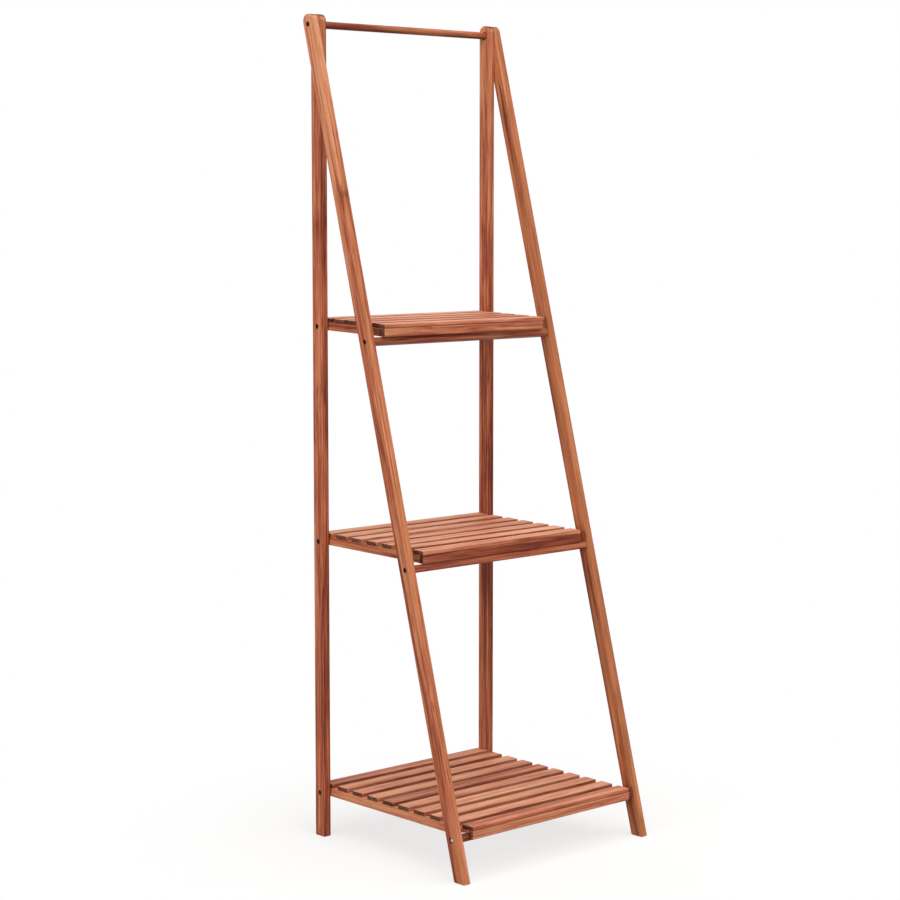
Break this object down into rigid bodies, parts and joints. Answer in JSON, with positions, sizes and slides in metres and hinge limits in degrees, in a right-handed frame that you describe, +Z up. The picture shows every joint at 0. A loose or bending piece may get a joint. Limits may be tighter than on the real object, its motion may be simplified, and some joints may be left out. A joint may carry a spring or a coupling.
{
  "type": "tiered plant stand",
  "caption": "Folding ladder-style wooden plant stand: slatted shelves turn on the upright rear legs and rest on crossbars between slanting front legs, under a round top bar.",
  "frame": {"origin": "on the floor, in the middle of the ground that the open stand covers", "axes": "+Z up, the front of the stand towards -Y, +X to the right of a person in front of it"},
  "size_m": [0.349, 0.3192, 1.13],
  "materials": {
    "leg_wood": "stained softwood, satin, with long grain streaks",
    "shelf_wood": "stained softwood, satin, paler on the upper faces, darker end grain",
    "apron_wood": "stained softwood, satin, redder, with lengthwise streaks",
    "screw_steel": "zinc-plated, pan head with a cross recess"
  },
  "bodies": {
    "rear_frame": {"rear_leg_left": "leg_wood", "rear_leg_right": "leg_wood", "top_bar": "leg_wood", "top_pivot_screw_left": "screw_steel", "top_pivot_screw_right": "screw_steel"},
    "front_frame": {"front_leg_left": "leg_wood", "front_leg_right": "leg_wood", "top_crossbar": "leg_wood", "middle_crossbar": "leg_wood", "bottom_crossbar": "leg_wood", "top_crossbar_screw_left": "screw_steel", "top_crossbar_screw_right": "screw_steel", "middle_crossbar_screw_left": "screw_steel", "middle_crossbar_screw_right": "screw_steel", "bottom_crossbar_screw_left": "screw_steel", "bottom_crossbar_screw_right": "screw_steel"},
    "top_shelf": {"top_slat_1": "shelf_wood", "top_slat_2": "shelf_wood", "top_slat_3": "shelf_wood", "top_slat_4": "shelf_wood", "top_slat_5": "shelf_wood", "top_apron": "apron_wood", "top_rail_left": "leg_wood", "top_rail_right": "leg_wood", "top_shelf_screw_left": "screw_steel", "top_shelf_screw_right": "screw_steel"},
    "middle_shelf": {"middle_slat_1": "shelf_wood", "middle_slat_2": "shelf_wood", "middle_slat_3": "shelf_wood", "middle_slat_4": "shelf_wood", "middle_slat_5": "shelf_wood", "middle_slat_6": "shelf_wood", "middle_slat_7": "shelf_wood", "middle_apron": "apron_wood", "middle_rail_left": "leg_wood", "middle_rail_right": "leg_wood", "middle_shelf_screw_left": "screw_steel", "middle_shelf_screw_right": "screw_steel"},
    "bottom_shelf": {"bottom_slat_1": "shelf_wood", "bottom_slat_2": "shelf_wood", "bottom_slat_3": "shelf_wood", "bottom_slat_4": "shelf_wood", "bottom_slat_5": "shelf_wood", "bottom_slat_6": "shelf_wood", "bottom_slat_7": "shelf_wood", "bottom_slat_8": "shelf_wood", "bottom_slat_9": "shelf_wood", "bottom_slat_10": "shelf_wood", "bottom_apron": "apron_wood", "bottom_rail_left": "leg_wood", "bottom_rail_right": "leg_wood", "bottom_shelf_screw_left": "screw_steel", "bottom_shelf_screw_right": "screw_steel"}
  },
  "joints": [
    {"name": "front_frame_fold", "type": "hinge", "parent": "rear_frame", "child": "front_frame", "pos_m": [0, 0.14897, 1.116], "axis": [1, 0, 0], "range_deg": [0, 13]},
    {"name": "top_shelf_lift", "type": "hinge", "parent": "rear_frame", "child": "top_shelf", "pos_m": [0, 0.14897, 0.7105], "axis": [-1, 0, 0], "range_deg": [0, 90]},
    {"name": "middle_shelf_lift", "type": "hinge", "parent": "rear_frame", "child": "middle_shelf", "pos_m": [0, 0.14897, 0.4145], "axis": [-1, 0, 0], "range_deg": [0, 90]},
    {"name": "bottom_shelf_lift", "type": "hinge", "parent": "rear_frame", "child": "bottom_shelf", "pos_m": [0, 0.14897, 0.0615], "axis": [-1, 0, 0], "range_deg": [0, 90]}
  ]
}
